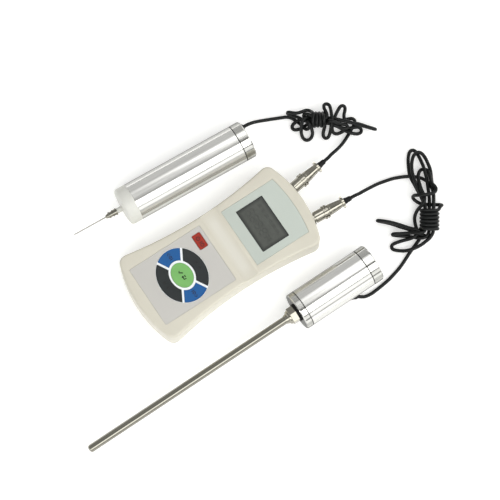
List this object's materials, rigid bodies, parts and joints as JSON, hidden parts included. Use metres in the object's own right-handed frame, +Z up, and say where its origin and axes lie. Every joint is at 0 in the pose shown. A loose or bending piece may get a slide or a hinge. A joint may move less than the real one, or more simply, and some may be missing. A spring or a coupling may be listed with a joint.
{
  "type": "grain moisture meter",
  "caption": "Handheld moisture reader with display and oval keypad, plugged into a needle probe and a long rod probe with round metal handles on black leads.",
  "frame": {"origin": "middle of the flat back face of the reader, which lies on the surface", "axes": "+Z up through the keypad face, +Y along the reader towards its sockets, +X to the right seen from the front"},
  "size_m": [0.2146, 0.4195, 0.037],
  "materials": {
    "case_plastic": "fine spark texture, satin",
    "display_panel": "printed film, satin",
    "window_glass": "clear, slightly smoked",
    "lcd_glass": "dark grey-green liquid crystal",
    "keypad_film": "printed film, matt",
    "key_red": "matt",
    "key_green": "matt",
    "key_blue": "matt",
    "key_black": "matt",
    "circuit_board": "green solder mask",
    "black_plastic": "moulded",
    "battery_wrap": "printed sleeve, plain",
    "spring_steel": "zinc plated",
    "black_rubber": "matt",
    "nickel_plate": "bright nickel, fine turned",
    "pin_brass": "gold flash",
    "handle_aluminium": "polished, fine lengthways draw lines",
    "nose_plastic": "natural white",
    "probe_steel": "stainless, ground",
    "lead_jacket": "satin black jacket"
  },
  "bodies": {
    "housing": {"front_case": "case_plastic", "rear_case": "case_plastic", "case_screws": "spring_steel", "battery": "battery_wrap", "battery_snap": "black_plastic", "display_plate": "display_panel", "display_window": "window_glass", "lcd_module": "lcd_glass", "lcd_holder": "spring_steel", "main_board": "circuit_board", "board_chips": "black_plastic", "keypad_plate": "keypad_film", "keypad_board": "circuit_board", "key_domes": "spring_steel", "board_screws": "spring_steel", "socket_left": "nickel_plate", "socket_right": "nickel_plate", "socket_inserts": "black_plastic", "socket_pins": "pin_brass", "socket_nuts": "nickel_plate", "socket_seals": "black_rubber", "plug_shells": "nickel_plate", "plug_inserts": "black_plastic", "clamp_nuts": "nickel_plate", "lead_sleeves": "black_rubber", "needle_tube": "handle_aluminium", "nose_cap": "nose_plastic", "needle_rear_cap": "handle_aluminium", "needle_board": "circuit_board", "needle_lead_bush": "black_rubber", "rod_tube": "handle_aluminium", "rod_front_cap": "handle_aluminium", "rod_rear_cap": "handle_aluminium", "rod_washer": "black_rubber", "gland_nut": "nickel_plate", "gland_ferrule": "nickel_plate", "probe_rod": "probe_steel", "rod_sensor_tip": "probe_steel", "rod_board": "circuit_board", "rod_lead_grommet": "black_rubber", "probe_seal_rings": "black_rubber", "lead_a_to_bundle": "lead_jacket", "lead_a_bundle": "lead_jacket", "lead_a_to_probe": "lead_jacket", "lead_b_to_bundle": "lead_jacket", "lead_b_bundle": "lead_jacket", "lead_b_to_probe": "lead_jacket"},
    "key_power_body": {"key_power": "key_red"},
    "key_enter_body": {"key_enter": "key_green"},
    "key_left_body": {"key_left": "key_blue"},
    "key_right_body": {"key_right": "key_blue"},
    "key_up_body": {"key_up": "key_black"},
    "key_down_body": {"key_down": "key_black"},
    "ring_left": {"coupling_ring_left": "nickel_plate"},
    "ring_right": {"coupling_ring_right": "nickel_plate"},
    "door": {"battery_door": "case_plastic"},
    "needle_unit": {"needle_hub": "probe_steel", "needle": "probe_steel"}
  },
  "joints": [
    {"name": "key_power_press", "type": "slide", "parent": "housing", "child": "key_power_body", "axis": [0, 0, -1], "range_m": [0, 0.0004], "stiffness_N_per_m": 2500, "springref_m": -0.0002},
    {"name": "key_enter_press", "type": "slide", "parent": "housing", "child": "key_enter_body", "axis": [0, 0, -1], "range_m": [0, 0.0004], "stiffness_N_per_m": 2500, "springref_m": -0.0002},
    {"name": "key_left_press", "type": "slide", "parent": "housing", "child": "key_left_body", "axis": [0, 0, -1], "range_m": [0, 0.0004], "stiffness_N_per_m": 2500, "springref_m": -0.0002},
    {"name": "key_right_press", "type": "slide", "parent": "housing", "child": "key_right_body", "axis": [0, 0, -1], "range_m": [0, 0.0004], "stiffness_N_per_m": 2500, "springref_m": -0.0002},
    {"name": "key_up_press", "type": "slide", "parent": "housing", "child": "key_up_body", "axis": [0, 0, -1], "range_m": [0, 0.0004], "stiffness_N_per_m": 2500, "springref_m": -0.0002},
    {"name": "key_down_press", "type": "slide", "parent": "housing", "child": "key_down_body", "axis": [0, 0, -1], "range_m": [0, 0.0004], "stiffness_N_per_m": 2500, "springref_m": -0.0002},
    {"name": "left_ring_turn", "type": "hinge", "parent": "housing", "child": "ring_left", "pos_m": [-0.015, 0.0906, 0.017], "axis": [-0.1478, 0.989, 0], "continuous": true},
    {"name": "right_ring_turn", "type": "hinge", "parent": "housing", "child": "ring_right", "pos_m": [0.0197, 0.0899, 0.017], "axis": [0.0663, 0.9978, 0], "continuous": true},
    {"name": "door_slide", "type": "slide", "parent": "housing", "child": "door", "axis": [0, -1, 0], "range_m": [0, 0.05]},
    {"name": "needle_twist", "type": "hinge", "parent": "housing", "child": "needle_unit", "pos_m": [-0.087, -0.041, 0.0185], "axis": [-0.0628, -0.998, 0], "range_deg": [0, 90]}
  ]
}
